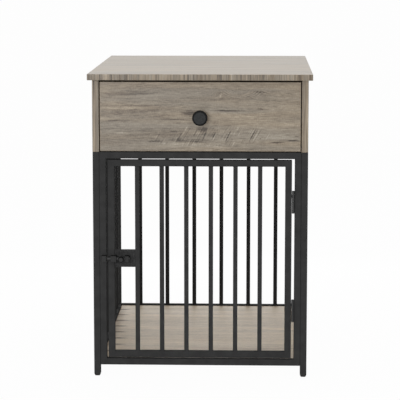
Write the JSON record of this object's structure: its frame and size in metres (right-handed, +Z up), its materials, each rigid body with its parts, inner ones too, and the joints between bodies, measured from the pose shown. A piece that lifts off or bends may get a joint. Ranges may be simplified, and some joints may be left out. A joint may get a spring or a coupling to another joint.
{
  "type": "dog crate end table",
  "caption": "End table with a lockable barred steel dog crate below a wooden top and a drawer on ball slides.",
  "frame": {"origin": "on the floor, under the middle of the table top", "axes": "+Z up, +X to the right seen from the front, +Y to the back; door and drawer face -Y"},
  "size_m": [0.508, 0.686, 0.7],
  "materials": {
    "black_steel": "satin black powder coat",
    "bolt_steel": "black oxide",
    "knob_metal": "satin black",
    "black_plastic": "matt",
    "grained_board": "matt grey-brown laminate with wood grain",
    "drawer_board": "matt laminate",
    "floor_panel": "matt laminate",
    "zinc_steel": "zinc plated"
  },
  "bodies": {
    "crate": {"leg_front_left": "black_steel", "leg_front_right": "black_steel", "leg_back_left": "black_steel", "leg_back_right": "black_steel", "side_rail_top_left": "black_steel", "side_rail_top_right": "black_steel", "side_rail_bottom_left": "black_steel", "side_rail_bottom_right": "black_steel", "side_bars_left": "black_steel", "side_bars_right": "black_steel", "front_stile_left": "black_steel", "front_stile_right": "black_steel", "front_rail_top": "black_steel", "front_rail_bottom": "black_steel", "back_rail_top": "black_steel", "back_rail_bottom": "black_steel", "back_bars": "black_steel", "floor_tabs": "black_steel", "floor_board": "floor_panel", "foot_plugs": "black_plastic", "frame_bolts": "bolt_steel", "cabinet_bolts": "bolt_steel", "hinge_frame_knuckles": "black_steel", "hinge_pins": "bolt_steel", "latch_keeper": "black_steel", "cabinet_side_left": "grained_board", "cabinet_side_right": "grained_board", "cabinet_back": "grained_board", "cabinet_ceiling": "grained_board", "table_top": "grained_board", "cam_fittings": "zinc_steel", "slide_outer_left": "zinc_steel", "slide_outer_right": "zinc_steel", "cabinet_slide_screws": "zinc_steel"},
    "door": {"door_stile_left": "black_steel", "door_stile_right": "black_steel", "door_rail_top": "black_steel", "door_rail_bottom": "black_steel", "door_bars": "black_steel", "hinge_door_knuckles": "black_steel", "latch_plate": "black_steel", "latch_guide_outer": "black_steel", "latch_guide_inner": "black_steel"},
    "latch_bolt": {"latch_rod": "black_steel", "latch_knob": "black_steel"},
    "drawer": {"drawer_front": "grained_board", "drawer_side_left": "drawer_board", "drawer_side_right": "drawer_board", "drawer_back": "drawer_board", "drawer_bottom": "drawer_board", "drawer_knob": "knob_metal", "knob_screw": "zinc_steel", "slide_inner_left": "zinc_steel", "slide_inner_right": "zinc_steel", "drawer_slide_screws": "zinc_steel"},
    "cage_left": {"ball_cage_left": "zinc_steel", "slide_balls_left": "zinc_steel"},
    "cage_right": {"ball_cage_right": "zinc_steel", "slide_balls_right": "zinc_steel"}
  },
  "joints": [
    {"name": "door_swing", "type": "hinge", "parent": "crate", "child": "door", "pos_m": [0.21185, -0.3176, 0.28], "axis": [0, 0, 1], "range_deg": [0, 180]},
    {"name": "bolt_slide", "type": "slide", "parent": "door", "child": "latch_bolt", "axis": [1, 0, 0], "range_m": [-0.0078, 0.006]},
    {"name": "drawer_slide", "type": "slide", "parent": "crate", "child": "drawer", "axis": [0, -1, 0], "range_m": [0, 0.26]},
    {"name": "cage_left_slide", "type": "slide", "parent": "crate", "child": "cage_left", "axis": [0, -1, 0], "range_m": [0, 0.13]},
    {"name": "cage_right_slide", "type": "slide", "parent": "crate", "child": "cage_right", "axis": [0, -1, 0], "range_m": [0, 0.13]}
  ],
  "couplings": [
    {"joint": "cage_left_slide", "follows": "drawer_slide", "ratio": 0.5},
    {"joint": "cage_right_slide", "follows": "drawer_slide", "ratio": 0.5}
  ]
}
